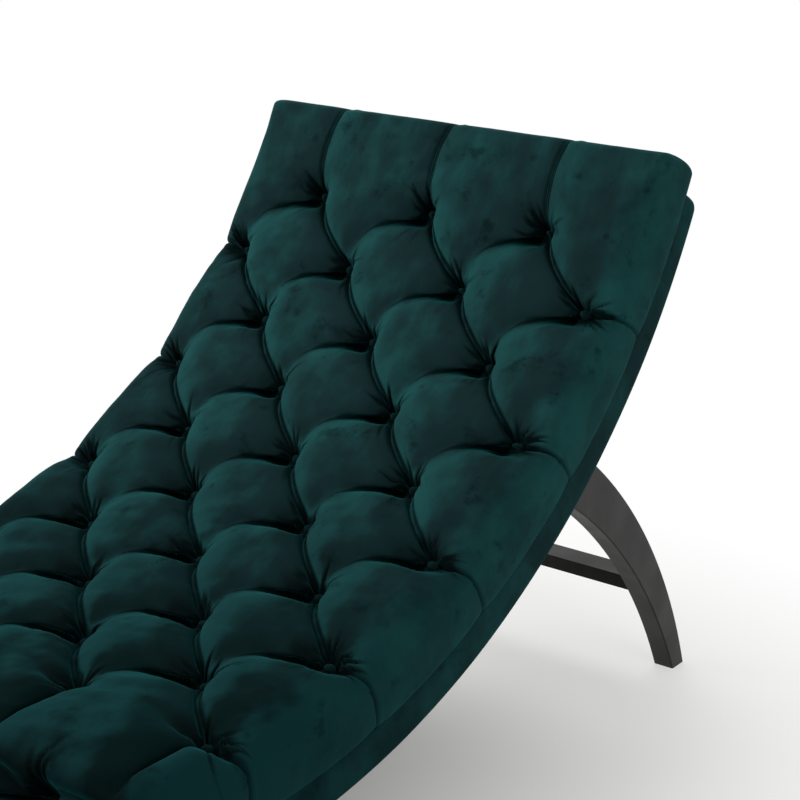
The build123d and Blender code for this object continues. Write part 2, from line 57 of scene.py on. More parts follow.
# Rows and columns of buttons. Columns are counted from the middle, in pitches.
pitch = 186.0
row_pitch = 98.5
first_row, last_back_row = 128.0, 9
ridge = 1113.0
foot_row, last_foot_row = 1140.0, 4
odd_columns = (-1.5, -0.5, 0.5, 1.5)
even_columns = (-1.0, 0.0, 1.0)
outer_column, side_column_share = odd_columns[-1], 0.29
outer_buttons = outer_column * pitch

# Folds and channels run from button to button. Both are bowed.
cell = 135.3
fold_bend, fold_bow = -0.191, 0.809
fold_run = 0.618
channel_bend, channel_bow = 0.25, 0.25
pleat_sway = 13.0

# Pad outline
half_width = 333.5
side_level = -30.0
seam_level = -69.7
seam_inset, foot_seam_inset = 9.0, 1.8
right_roll, left_roll, end_roll = 60.0, 40.0, 14.0
roll_power = 2.3
edge_inset = 3.0
plan_corner = 9.0
side_loops, seam_loops = 10, 11
rim_wobble, rim_pleat_share, edge_tuck, head_pinch = 0.5, 0.6, 1.6, 2.4

# Relief of the pad
crest = 30.0
button_seat = 0.4
fold_low, far_fold_low, channel_low, side_low = 6.0, 12.0, 15.0, 4.0
shoulder, pillow_power = 56.0, 2.3
cord_rise, cord_width = 3.0, 2.0
groove_depth, groove_place, groove_width = 3.0, 3.7, 1.2
lip_reach, lip_depth = 12.0, 5.5
hollow_depth, hollow_place, hollow_width = 9.0, 4, 14
pit_depth, pit_along, pit_length, pit_place, pit_width = 11.0, 17, 14, 5, 11
knee_lift, knee_overhang = 20.0, 9.0
pleat_width, head_low, foot_low = 50.0, 21.0, 14.0
back_pleat_width, back_low, ridge_rise, ridge_widening = 62.0, 9.0, 10.0, 20.0
crease_depth, head_crease_depth = 3.4, 2.4
crease_place, crease_width, single_crease_width = 3.0, 1.2, 1.8
side_crest, side_groove, side_valley, left_pleat_share = 1.8, 4.6, 2.6, 0.5
right_run, left_run = -7.0, -11.0
seat_start, seat_end = 560, 980

# Painted shade on the velvet and how strong it is: under, near and on the folds, and in the creases
under_fold_shade, beside_fold_shade, on_fold_shade, lip_shade, pit_shade = 0.7, 0.5, 0.55, 0.7, 1.4
pleat_shade, head_pleat_shade, side_pleat_shade, knee_shade = 0.8, 0.6, 0.7, 0.6

# Fans of fine creases at the buttons: heading and its spread in degrees, count, weight, length
fans = ((140, 20, 8, 1.1, 1.0), (62, 20, 3, 0.5, 1.0), (205, 18, 2, 0.5, 1.0), (262, 22, 2, 0.45, 2.0))
right_edge_fan = (14, 30, 15, 1.5, 0.8)
left_edge_fan = (166, 26, 9, 1.2, 1.0)
# fan_shade is the strength of the shade painted into the fans' creases
fan_reach, fan_vigour, fan_shade, fan_waver = 96, (0.55, 1.2), 1.2, 0.004
fan_lengths, fan_depths, fan_widths = (22, 52), (1.3, 3.6), (1.0, 1.8)

# Painted shade of the hollow at the lower left of each button on the seat
dark_aside, dark_below, dark_length, dark_width = 21, 4, 23, 11

# Soft dents of the pad's top: depth, wave length, number of waves and seed.
# The patchy ones also have the waves of their patches, and the levels between which they fade in.
dents = ((1.0, 150, 10, 3), (0.7, 62, 14, 5))
patchy_dents = (((0.4, 24, 18, 8), (170, 8, 9), (-0.4, 0.9)),
                ((0.14, 12, 18, 12), (120, 8, 13), (-0.2, 1.0)))

# Buttons
button_radius, button_flatness, button_lift = 0.0066, 0.62, 0.0016
button_puckers, pucker_depth = 12, 0.0002

# Band and dust cover
band_side = 324.5
band_start = 28.0
band_corner = 16.0
band_step = 7.0
band_top, band_bottom = -69.65, -116.4
cover_side, cover_start, cover_end_gap = 321.8, 30.7, 2.7
cover_level, cover_corner, cover_thickness = -114.9, 13.6, 0.0008
slit_across = (246.5, 280.5)
slit_along = ((348.6, 431.4), (1427.6, 1539.0))

# Camera and light
camera_azimuth, camera_elevation = 37.47, 18.10
camera_place = (1.4809, -1.4231, 1.2230)
camera_focal_px, image_px, sensor_mm = 1900.8, 800, 36.0
surround_light = 0.28
seen_rays = ("Is Camera Ray", "Is Glossy Ray", "Is Transmission Ray")
veil_half_length, veil_growth, veil_start = 0.35, 1.1, 0.03


def side_curve():
    """The arcs of the seat's side curve, placed so that the whole is centred along Y."""
    def trace(center_y):
        """The arcs, from this place of the first one's centre, and the length of all."""
        arcs, start, center_z = [], 0.0, button_level + arc_radii[0]
        for index, radius in enumerate(arc_radii):
            first, last = arc_slopes[index], arc_slopes[index + 1]
            if index:
                center_y += (arc_radii[index - 1] - radius) * sin(first)
                center_z -= (arc_radii[index - 1] - radius) * cos(first)
            arcs.append((start, radius, first, center_y, center_z))
            start += radius * (first - last)
        return arcs, start

    _, radius, _, center_y, _ = trace(0.0)[0][-1]
    foot_end = center_y + (radius + body_depth) * sin(arc_slopes[-1])
    return trace(-(foot_end + rear_foot_reach) / 2)


arcs, seat_length = side_curve()


def slope_at(travel):
    """The slope of the seat at a distance along it, in radians."""
    start, radius, slope, _, _ = [arc for arc in arcs if arc[0] <= max(travel, 0.0)][-1]
    return slope - (travel - start) / radius


def place(travel, height):
    """The Y and Z of points at these distances along the seat and heights above its line."""
    travel, height = np.broadcast_arrays(np.asarray(travel, float), np.asarray(height, float))
    bend = np.clip(1 - travel / taper_length, 0, 1) ** taper_bend
    height = np.where(height < 0, height * (1 - taper_share * bend), height)
    y, z = np.zeros(travel.shape), np.zeros(travel.shape)
    for index, (start, radius, slope, center_y, center_z) in enumerate(arcs):
        here = travel >= start if index else np.full(travel.shape, True)
        turn = slope - (travel - start) / radius
        y = np.where(here, center_y + (radius - height) * np.sin(turn), y)
        z = np.where(here, center_z - (radius - height) * np.cos(turn), z)
    return y, z


def in_metres(across, along, height):
    """Points of the body as an array of X, Y, Z in metres."""
    y, z = place(along, height)
    return np.stack([np.broadcast_to(across, y.shape), y, z], axis=-1).reshape(-1, 3) / 1000


def smooth(low, high, value):
    """A soft step from 0 to 1 between two values."""
    share = np.clip((value - low) / (high - low), 0, 1)
    return share * share * (3 - 2 * share)


def swell(share, power):
    """A rounded rise from 0 to 1 as the share goes from 0 to 1."""
    return (1 - (1 - np.clip(share, 0, 1)) ** power) ** (1 / power)


def hump(value, middle, width):
    """A bump of 1 at the middle that fades on both sides."""
    return np.exp(-((value - middle) / width) ** 2)


def ripples(across, along, size, count, seed):
    """A smooth random relief, from waves of about this length in all directions."""
    dice = np.random.default_rng(seed)
    total = np.zeros(across.shape)
    for _ in range(count):
        heading = dice.uniform(0, pi)
        length = size * dice.uniform(0.6, 1.8)
        kx, ks = 2 * pi * cos(heading) / length, 2 * pi * sin(heading) / length
        total += np.sin(kx * across + ks * along + dice.uniform(0, 2 * pi))
    return total / sqrt(count)


def bent_share(along, bend):
    """The share t of a bowed line at which (1 - bend) * t + bend * t * t comes to this share."""
    linear = 1 - bend
    return (np.sqrt(linear ** 2 + 4 * bend * along) - linear) / (2 * bend)


def diamond(column, row):
    """Where points lie in their diamond: the share down from the fold above, and over from a channel."""
    down, over = column + row / 2, row / 2 - column
    bent_down, bent_over = down, over
    for _ in range(8):
        t = bent_share(bent_over - np.floor(bent_over), fold_bend)
        bent_down = down + fold_bow * t * (1 - t)
        t = bent_share(bent_down - np.floor(bent_down), channel_bend)
        bent_over = over - channel_bow * t * (1 - t)
    return bent_down - np.floor(bent_down), bent_over - np.floor(bent_over)


def fold_reach(share):
    """How far across a fold has come, as a share of the pitch, at this share of a row."""
    t = bent_share(share, fold_run)
    return 0.5 * (2 * t - t * t)


def channel_reach(share):
    """How far across a channel has come, as a share of the pitch, at this share of a row."""
    return channel_bend * (share + share * share)


def rows_at(travel):
    """The row number of points on their own panel, its last row, and whether it is the foot panel."""
    foot = travel > ridge
    row = np.where(foot, (travel - foot_row) / row_pitch, (travel - first_row) / row_pitch)
    return row, np.where(foot, last_foot_row, last_back_row), foot


def pleat_bow(travel):
    """How far the straight pleats above the first row bow sideways, in millimetres."""
    share = np.clip(travel / first_row, 0, 1)
    return pleat_sway * np.sin(pi * share) * (1.15 - 0.5 * share)


def tracks_at(travel):
    """The six lines along the seat that the mesh follows, so that folds and channels stay crisp."""
    row, last, _ = rows_at(travel)
    row = np.clip(row, 0, last)
    whole = np.minimum(np.floor(row), last - 1)
    share = row - whole
    even = whole % 2 == 0
    left = np.where(even, fold_reach(share), 0.5 - channel_reach(share))
    right = np.where(even, channel_reach(share), 0.5 - fold_reach(share))
    turn_length, track_gap = 7.0, 2.0 / pitch
    crossing = np.abs(travel - ridge) < turn_length
    middle = 0.5 * (1 - smooth(ridge - turn_length, ridge + turn_length, travel))
    left = track_gap + (1 - 4 * track_gap) * np.where(crossing, middle, left)
    right = track_gap + (1 - 4 * track_gap) * np.where(crossing, middle, right)
    lines = []
    for column in even_columns:
        lines += [(column - left) * pitch, (column + right) * pitch]
    return [line - pleat_bow(travel) for line in lines]


def graded(count, evenness):
    """Shares from 0 to 1, closer together towards both ends."""
    t = np.linspace(0, 1, count + 1)
    return evenness * t + (1 - evenness) * (0.5 - 0.5 * np.cos(pi * t))


def row_stops():
    """The distances along the seat at which the mesh has a row of points."""
    least_rows, row_step, evenness, ridge_strip = 18, 2.2, 0.45, 8
    marks = [edge_inset] + [first_row + row_pitch * i for i in range(last_back_row + 1)]
    marks += [ridge - ridge_strip, ridge + ridge_strip]
    marks += [foot_row + row_pitch * i for i in range(last_foot_row + 1)]
    marks += [seat_length - edge_inset]
    stops = [marks[0]]
    for first, last in zip(marks, marks[1:]):
        count = max(least_rows, int(round((last - first) / row_step)))
        stops += list(first + (last - first) * graded(count, evenness)[1:])
    return np.array(stops)


def columns_at(travel):
    """The distances across at which a row of the mesh has its points."""
    side_columns, inner_columns, evenness = 42, 46, 0.3
    edge = (half_width - edge_inset) * np.ones_like(travel)
    spans = [-edge] + tracks_at(travel) + [edge]
    last_span = len(spans) - 2
    across = [spans[0][:, None]]
    for index, (first, last) in enumerate(zip(spans, spans[1:])):
        shares = graded(side_columns if index in (0, last_span) else inner_columns, evenness)[1:]
        across.append(first[:, None] + (last - first)[:, None] * shares[None, :])
    return np.concatenate(across, axis=1)


def button_spots():
    """Across, along, and whether the row is an odd one, of every button."""
    spots = []
    for start, last in ((first_row, last_back_row), (foot_row, last_foot_row)):
        for row in range(last + 1):
            for column in odd_columns if row % 2 else even_columns:
                spots.append((column * pitch, start + row * row_pitch, row % 2))
    return spots


spots = button_spots()
chance = np.random.default_rng(11)


class Tufting:
    """The relief of the tufted velvet: its height, how its folds hang over, and the shade painted into its
    folds, channels and creases.
    """

    def __init__(self, across, along):
        self.along = along
        self.row, self.last_row, self.foot = rows_at(along)
        self.column = (across + pleat_bow(along)) / pitch
        self.to_button = np.full(across.shape, 1e6)
        for x, s, _ in spots:
            self.to_button = np.minimum(self.to_button, np.hypot(across - x, along - s))
        self.beyond = np.clip(np.maximum(-self.row, self.row - self.last_row), 0, 2)
        self.side = np.clip((np.abs(self.column) - outer_column) / side_column_share, 0, 1)
        # Painted shade, gathered below where folds, channels, pleats and the knee fall into shade
        self.dark = np.zeros(across.shape)

    def pillows(self):
        """The height of each diamond, with its lapped fold and its double channel."""
        down, over = diamond(np.clip(self.column, -outer_column, outer_column),
                             np.clip(self.row, 0, self.last_row))
        inward = 1 - self.side
        along_fold = bent_share(over, fold_bend)
        self.tilt = fold_bow * (1 - 2 * along_fold)
        far = smooth(0.3, 0.8, over)

        full = self.fullness(down, over, far)
        to_fold = np.minimum(down, 1 - down)
        to_channel = np.minimum(over, 1 - over)
        by_channel = smooth(-0.12, 0.12, to_fold - to_channel)
        away = 1 - hump(self.to_button, 0, 38)
        by_fold = fold_low + (far_fold_low - fold_low) * far
        low = away * (by_fold * (1 - by_channel) + channel_low * by_channel + side_low * self.side)
        height = low + (crest - low) * full

        beside = to_channel * cell
        channel = smooth(0.03, 0.12, down) * smooth(0.02, 0.1, 1 - down) * inward
        height += channel * (cord_rise * hump(beside, 0, cord_width)
                             - groove_depth * hump(beside, groove_place, groove_width))
        # Painted shade in the grooves of the channel
        self.dark += channel * hump(beside, groove_place, 1.4)
        return height - self.hollows(down, over, inward)

    def fullness(self, down, over, far):
        """How far each point has risen from the folds and channels to the crest, from 0 to 1."""
        blunt = 0.075 * far + 0.004
        rise = np.hypot(down, blunt) * 2
        fall = np.hypot(1 - down, blunt) * 2
        between_folds = np.where(down < 0.5, swell(rise, 2.2), swell(fall, 3.2 - 1.0 * far))
        strip = 2.6 * smooth(0.02, 0.12, down) * smooth(0.0, 0.1, 1 - down)
        upper = np.clip((1 - over) * cell - strip, 0, None) / shoulder
        lower = np.clip(over * cell - strip, 0, None) / shoulder
        full = between_folds * np.minimum(swell(lower, pillow_power), swell(upper, pillow_power))
        return full ** (1 - 0.5 * self.side)

    def hollows(self, down, over, inward):
        """The depth of the hollow under each fold. Paints shade under it, on the fold and at its lip, and
        keeps what its lip needs.
        """
        lean = np.hypot(1, self.tilt)
        below, above = down * cell / lean, (1 - down) * cell / lean
        under, on_top = down < 0.5, down > 0.5
        beside = over * cell
        hollow = (1 - smooth(0.18, 0.6, over)) * smooth(0.02, 0.13, over) * inward
        seat = smooth(seat_start, seat_end, self.along)
        pit = hump(beside, pit_along + 5 * seat, pit_length + 4 * seat)
        pit = pit * hump(below, pit_place, pit_width + 4 * seat) * inward
        painted_shade_pit = hump(beside, pit_along + 7 * seat, pit_length + 8 * seat)
        painted_shade_pit = painted_shade_pit * hump(below, 4 + 8 * seat, pit_width + 13 * seat) * inward

        shaded = (1 - smooth(0.14, 0.6, over)) * smooth(0.0, 0.05, over) * inward
        near = (1 - smooth(0.08, 0.42, over)) * smooth(0.0, 0.04, over) * inward
        self.lip, self.lip_strength = above, hollow * on_top
        # Painted shade under the fold, beside it, in its pit, on the fold and at the lip
        painted_shade_under_fold = under_fold_shade * shaded * hump(below, 1, 12)
        painted_shade_under_fold += beside_fold_shade * near * hump(below, 0, 25) + pit_shade * painted_shade_pit
        self.dark += painted_shade_under_fold * under
        self.dark += on_fold_shade * near * hump(above, 0, 17) * on_top
        self.dark += lip_shade * self.lip_strength * hump(self.lip, 0, 2.5)
        return (hollow_depth * hollow * hump(below, hollow_place, hollow_width) + pit_depth * pit) * under

    def from_pleat(self, first):
        """The distance across from the nearest straight pleat, one at every column from the first."""
        nearest = np.clip(np.round(self.column - first) + first, -1 - first, 1 + first)
        return np.abs(self.column - nearest) * pitch

    def pleated(self, first, low, width):
        """The swelling between straight pleats."""
        return low + (crest - low) * swell(self.from_pleat(first) / width, pillow_power)

    def pleat_lines(self, first):
        """The thin lines of the straight pleats: double at the head and the foot, single on the knee."""
        beside = self.from_pleat(first)
        if first == 0.0:
            return hump(beside, crease_place, crease_width)
        return hump(beside, 0, single_crease_width)

    def height(self):
        """The height of the velvet over the line of the buttons."""
        pattern = self.pillows()
        back = (self.row > 1) & ~self.foot
        head = ~self.foot & ~back
        to_ridge = smooth(ridge - 60, ridge, self.along)
        on_back = self.pleated(0.5, back_low + ridge_rise * to_ridge,
                               back_pleat_width + ridge_widening * to_ridge)
        plain = np.where(back, on_back, self.pleated(0.0, np.where(head, head_low, foot_low), pleat_width))
        crease = np.where(back, self.pleat_lines(0.5), self.pleat_lines(0.0))
        crease = crease * np.where(self.foot, smooth(ridge + 6, ridge + 20, self.along),
                                   1 - smooth(ridge - 30, ridge - 8, self.along))
        plain -= crease * np.where(head, head_crease_depth, crease_depth)
        blend = smooth(0.0, 0.4, self.beyond)
        height = pattern + (plain - pattern) * blend
        # Painted shade in the creases of the straight pleats
        crease_shade = np.where(head, head_pleat_shade, pleat_shade)
        self.dark = self.dark * (1 - blend) + blend * crease * crease_shade
        height = self.over_knee(height)
        on_button = 1 - smooth(7.5, 15, self.to_button)
        return height + (button_seat - height) * on_button

    def over_knee(self, height):
        """Adds the front of the knee roll, from the ridge down to the first row of the foot panel."""
        front = self.along - ridge
        on_front = (front >= 0) & (front < foot_row - ridge)
        crown = self.pleated(0.5, back_low + ridge_rise, back_pleat_width + ridge_widening) - crest
        face = crest + crown * (1 - smooth(0, 12, front))
        channel = self.pleat_lines(0.0)
        folded = self.pleated(0.0, back_low, pleat_width) - crease_depth * channel * smooth(6, 14, front)
        # Painted shade on the front of the knee roll and in its channels
        self.dark += knee_shade * smooth(-4, 12, front) * (1 - smooth(34, 70, front))
        self.dark += np.where(on_front, channel * smooth(6, 14, front), 0)
        return np.where(on_front, face + (folded - face) * smooth(2, 22, front), height)

    def knee(self):
        """The lift of the roll over the knee, where the back panel ends above the foot panel."""
        back = knee_lift * np.clip((self.along - (ridge - row_pitch)) / row_pitch, 0, 1) ** 1.6
        front = knee_lift * (1 - smooth(ridge, foot_row + 2, self.along))
        return np.where(self.along < ridge, back, np.where(self.along < foot_row + 2, front, 0.0))

    def overhang(self):
        """How far the lips of the folds hang over, as millimetres across and along."""
        depth = np.clip(self.lip, 0, None) / lip_depth
        reach = lip_reach * self.lip_strength * depth * np.exp(1 - depth)
        reach *= 1 - smooth(0.0, 0.25, self.beyond)
        diagonal = np.hypot(pitch / 2, row_pitch)
        across, along = pitch / 2 / diagonal, row_pitch / diagonal
        norm = np.hypot(1, self.tilt)
        over_knee = knee_overhang * np.sin(pi * np.clip((self.along - ridge + 6) / 30, 0, 1))
        return (reach * (across - self.tilt * across) / norm,
                reach * (along + self.tilt * along) / norm + over_knee)


def crease(radius, angle, vigour, fan):
    """One crease of a fan, drawn by chance: its relief and the shade painted into it."""
    middle, spread, _, weight, length = fan
    heading = radians(chance.normal(middle, spread))
    reach = chance.uniform(*fan_lengths) * (0.65 + 0.45 * weight) * length
    depth = weight * vigour * chance.uniform(*fan_depths)
    width = chance.uniform(*fan_widths) * (0.8 if length < 1 else 1.0)
    turn = angle - heading - chance.normal(0, fan_waver) * radius
    beside = radius * np.sin(turn)
    fade = smooth(5, 11, radius) * (1 - smooth(0.3 * reach, reach, radius)) * (np.cos(turn) > 0)
    line = depth * fade * (0.5 * hump(beside, 2.3 * width, 1.4 * width) - hump(beside, 0, width))
    return line, fan_shade * min(depth, 1.4) * fade * hump(beside, 0, 1.1 * width)


def gathers(across, along):
    """The relief of the fans of creases at the buttons, and the shade painted into them and into the seat's
    hollows.
    """
    relief, shade = np.zeros(across.shape), np.zeros(across.shape)
    for x, s, odd in spots:
        near = np.hypot(across - x, along - s) < fan_reach
        aside, past = across[near] - x, along[near] - s
        radius, angle = np.hypot(aside, past), np.arctan2(-past, aside)
        here = fans
        if odd and abs(x) == outer_buttons:
            here = fans + (right_edge_fan if x > 0 else left_edge_fan,)
        spikes = 1.0 + 0.7 * smooth(seat_start, seat_end, s)
        lines, dark = np.zeros(radius.shape), np.zeros(radius.shape)
        vigour = chance.uniform(*fan_vigour)
        for fan in here:
            for _ in range(fan[2]):
                line, line_shade = crease(radius, angle, vigour, fan)
                lines += line
                dark += spikes * line_shade
        relief[near] += lines
        # Painted shade in the hollow at the lower left of each seat button
        left, below = aside + dark_aside, past - dark_below
        hollow = smooth(480, 900, s) * hump(left - below, 0, dark_length) * hump(below, 0, dark_width)
        shade[near] += dark + (1.5 * hollow + 0.8 * hollow * dark)
    return relief, shade


def uneven(across, along):
    """The soft dents of the pad's top."""
    total = np.zeros(across.shape)
    for depth, size, count, seed in dents:
        total += depth * ripples(across, along, size, count, seed)
    for (depth, *waves), patches, limits in patchy_dents:
        total += depth * ripples(across, along, *waves) * smooth(*limits, ripples(across, along, *patches))
    return total


def rounded_plan(across, along, side, low, high, corner):
    """Draws the corners of a plan in, so that they are round."""
    edge_x, low, high = side - corner, low + corner, high - corner
    over_x = np.clip((np.abs(across) - edge_x) / corner, 0, 1)
    over_s = np.clip(np.maximum(low - along, along - high) / corner, 0, 1)
    both = (over_x > 0) & (over_s > 0)
    moved_x = np.sign(across) * (edge_x + corner * over_x * np.sqrt(1 - over_s ** 2 / 2))
    new_s = corner * over_s * np.sqrt(1 - over_x ** 2 / 2)
    moved_s = np.where(along > (low + high) / 2, high + new_s, low - new_s)
    return np.where(both, moved_x, across), np.where(both, moved_s, along)


def add_mesh(name, points, faces):
    """A new object from points in metres and faces of point numbers."""
    mesh = bpy.data.meshes.new(name)
    mesh.from_pydata(points.tolist(), [], faces)
    mesh.update()
    made = bpy.data.objects.new(name, mesh)
    bpy.context.scene.collection.objects.link(made)
    made.data.polygons.foreach_set("use_smooth", [True] * len(made.data.polygons))
    bpy.ops.object.select_all(action="DESELECT")
    made.select_set(True)
    bpy.context.view_layer.objects.active = made
    bpy.ops.object.mode_set(mode="EDIT")
    bpy.ops.mesh.select_all(action="SELECT")
    bpy.ops.mesh.normals_make_consistent(inside=False)
    bpy.ops.object.mode_set(mode="OBJECT")
    return made


def ring_faces(first, second):
    """The quads between two loops of points, given by their numbers."""
    return np.stack([first, second, np.roll(second, -1), np.roll(first, -1)], -1).tolist()


def write_share(made, name, values):
    """Stores a number from 0 to 1 on each point of a mesh, for its material."""
    stored = made.data.attributes.new(name, "FLOAT", "POINT")
    stored.data.foreach_set("value", np.clip(values, 0, 1).astype(np.float32))


class Pad:
    """The whole pad: the tufted top, the rolled sides and the flat underside."""

    def __init__(self):
        stops = row_stops()
        self.across = columns_at(stops)
        self.along = np.repeat(stops[:, None], self.across.shape[1], axis=1)
        # dark and lit gather the painted shade and the painted light of each point
        self.points, self.faces, self.dark, self.lit = [], [], [], []
        self.shape_top()
        self.add_top()
        self.add_rim()
        self.add_underside()

    def shape_top(self):
        """The heights of the top, its painted shade and painted light, and its plan."""
        across, along = self.across, self.along
        tufting = Tufting(across, along)
        height = tufting.height()
        over_x, over_s = tufting.overhang()
        fan_relief, fan_shade = gathers(across, along)
        self.pleats()
        height += tufting.knee() + fan_relief + uneven(across, along)
        self.height = height + self.outside * self.pleat
        # Painted shade in the grooves of the side pleats
        pleat_line = self.outside * hump(self.from_pleat, 1.2, 2.4)
        self.top_painted_shade = tufting.dark + fan_shade + side_pleat_shade * pleat_line
        self.top_lit = self.painted_light_on_flanks()

        along_pleat = along + over_s + self.pleat_run(hump(self.from_pleat, 0, 26))
        self.plan_x, plan_s = rounded_plan(across + over_x, along_pleat, half_width - edge_inset,
                                           edge_inset, seat_length - edge_inset, plan_corner)
        puffed = 5.0 - 3.0 * across / half_width
        self.plan_s = plan_s - puffed * np.clip(1 - along / first_row, 0, 1) ** 2

    def pleats(self):
        """The pleats from the outer buttons to the sides: how far off they are, their extent and relief."""
        row, last, _ = rows_at(self.along)
        odd = np.round((np.clip(row, 0, last) - 1) / 2) * 2 + 1
        real = (odd <= last) & (odd >= 1)
        self.from_pleat = np.where(real, (row - odd) * row_pitch, 1e3)
        self.outside = smooth(outer_buttons + 4, outer_buttons + 20, np.abs(self.across))
        crest_line = side_crest * hump(self.from_pleat, -5, 4)
        groove = side_groove * hump(self.from_pleat, 1.2, 2.2)
        valley = side_valley * hump(self.from_pleat, 0, 17)
        self.pleat = (crest_line - groove - valley) * np.where(self.across > 0, 1.0, left_pleat_share)

    def pleat_run(self, flat):
        """How far the side pleats have run along the seat by the time they reach the edge."""
        out = np.clip((np.abs(self.across) - outer_buttons) / (half_width - outer_buttons), 0, 1)
        return np.where(self.across > 0, right_run, left_run) * out * flat

    def painted_light_on_flanks(self):
        """Painted light: lighter on the left flank of each pillow, by the slope of the top, darker a little
        way in from the right edge, and lighter along it.
        """
        flank = np.gradient(self.height, axis=1) / np.gradient(self.across, axis=1)
        lit = 0.5 + 0.5 * np.tanh(flank / 0.25)
        for _ in range(10):
            lit[:, 1:-1] = (lit[:, :-2] + 2 * lit[:, 1:-1] + lit[:, 2:]) / 4
        to_right = half_width - self.across
        lit = lit * (1 - 0.6 * hump(to_right, 62, 26))
        return lit + (1 - lit) * 0.8 * (1 - smooth(8, 30, to_right))

    def add_top(self):
        """The grid of the top, rolled down towards its sides and ends."""
        to_side = half_width - np.abs(self.across)
        self.to_end = np.minimum(self.along, seat_length - self.along)
        head_share = 0.22 + 0.78 * smooth(10, 110, self.along)
        self.side_roll = np.where(self.across > 0, right_roll * head_share, left_roll)
        self.roll = swell(to_side / self.side_roll, roll_power) * swell(self.to_end / end_roll, roll_power)
        settled = side_level + (self.height - side_level) * self.roll
        self.points.append(in_metres(self.plan_x, self.plan_s, settled))
        self.dark.append(self.top_painted_shade.ravel())
        self.lit.append(self.top_lit.ravel())
        self.number = np.arange(self.across.size).reshape(self.across.shape)
        number = self.number
        quads = np.stack([number[:-1, :-1], number[:-1, 1:], number[1:, 1:], number[1:, :-1]], -1)
        self.faces += quads.reshape(-1, 4).tolist()

    def add_rim(self):
        """Loops round the pad, from the edge of the top over the roll and down to the seam."""
        number = self.number
        rim = np.concatenate([number[0, :-1], number[:-1, -1], number[-1, :0:-1], number[:0:-1, 0]])
        rim_x, rim_s, rim_top, rim_roll = (
            values.ravel()[rim] for values in (self.plan_x, self.plan_s, self.height, self.roll))
        width, to_end, from_pleat, pleat, dark, lit = (
            values.ravel()[rim] for values in (self.side_roll, self.to_end, self.from_pleat,
                                               self.outside * self.pleat, self.top_painted_shade, self.top_lit))
        out_x = np.roll(rim_s, -1) - np.roll(rim_s, 1)
        out_s = np.roll(rim_x, 1) - np.roll(rim_x, -1)
        size = np.hypot(out_x, out_s)
        out_x, out_s = out_x / size, out_s / size

        roll_width = np.where(to_end < edge_inset + 0.5, end_roll, width)
        start = swell(edge_inset / roll_width, roll_power)
        at_foot = out_s ** 2 * (rim_s > seat_length / 2)
        inset = seam_inset + (foot_seam_inset - seam_inset) * at_foot
        wobble = ripples(rim_x + rim_s * 0.3, rim_s, 90, 8, 21)
        tuck = edge_tuck * hump(from_pleat, 4, 18)
        column = (rim_x + pleat_bow(rim_s)) / pitch
        pinch = head_pinch * hump((column - np.clip(np.round(column), -1, 1)) * pitch, 3, 5) * (rim_s < 20)

        profile = []
        for share in np.linspace(0, 1, side_loops + 1)[1:]:
            up = start * (1 - share)
            outward = edge_inset - roll_width * (1 - (1 - up ** roll_power) ** (1 / roll_power))
            outward = outward + rim_pleat_share * pleat + pinch * swell(share, 2)
            level = side_level + (rim_top - side_level) * rim_roll * (1 - share) + 0.6 * pinch
            profile.append((outward, level, 0.5 * share))
        for share in np.linspace(0, 1, seam_loops + 1)[1:]:
            turn = share * pi / 2
            fading = (rim_pleat_share * pleat + pinch) * (1 - 0.7 * share)
            outward = edge_inset - inset * (1 - cos(turn)) + fading
            level = (side_level + (seam_level - side_level) * sin(turn)) * np.ones(len(rim))
            profile.append((outward, level, 0.5 + 0.5 * share))

        last_loop = rim
        for index, (outward, level, depth) in enumerate(profile):
            outward = outward + rim_wobble * wobble * sin(pi * depth) - tuck * depth
            slide = -5.0 * depth * np.abs(out_x) * hump(from_pleat, 0, 30)
            self.points.append(in_metres(rim_x + out_x * outward, rim_s + out_s * outward + slide, level))
            # The painted shade and the painted light fade down the roll towards the seam
            self.dark.append(dark * (1 - 0.3 * depth))
            self.lit.append(lit * (1 - 0.4 * depth))
            loop = number.size + index * len(rim) + np.arange(len(rim))
            self.faces += ring_faces(loop, last_loop)
            last_loop = loop
        self.seam = last_loop

    def add_underside(self):
        """Closes the pad below with one strip between each two rows, and a face at each end."""
        rows, columns = self.across.shape
        head, foot = columns - 1, columns - 1 + rows - 1
        right = self.seam[head:head + rows]
        left = np.concatenate([self.seam[foot + columns - 1:], self.seam[:1]])[::-1]
        for index in range(rows - 1):
            self.faces.append([int(side[step]) for side, step in
                               ((left, index), (left, index + 1), (right, index + 1), (right, index))])
        self.faces.append([int(n) for n in self.seam[:head + 1]])
        self.faces.append([int(n) for n in self.seam[foot:foot + columns]])

    def make(self):
        """The finished object."""
        made = add_mesh("tufted_pad", np.concatenate(self.points), self.faces)
        # The painted shade and the painted light, kept on the points for the material
        write_share(made, "painted_shade", np.concatenate(self.dark))
        write_share(made, "brushed", np.concatenate(self.lit))
        return made


def covered_button():
    """One velvet-covered button: a low dome with a puckered edge, on the origin."""
    bpy.ops.mesh.primitive_uv_sphere_add(segments=24, ring_count=12, radius=button_radius)
    button = bpy.context.object
    bpy.ops.object.mode_set(mode="EDIT")
    bpy.ops.transform.resize(value=(1, 1, button_flatness))
    bpy.ops.object.mode_set(mode="OBJECT")
    for vertex in button.data.vertices:
        around = np.arctan2(vertex.co.y, vertex.co.x)
        out = np.hypot(vertex.co.x, vertex.co.y) / button_radius
        pucker = pucker_depth * out ** 3 * cos(button_puckers * around)
        vertex.co.z = max(vertex.co.z, -button_lift) + pucker
    for polygon in button.data.polygons:
        polygon.use_smooth = True
    return button


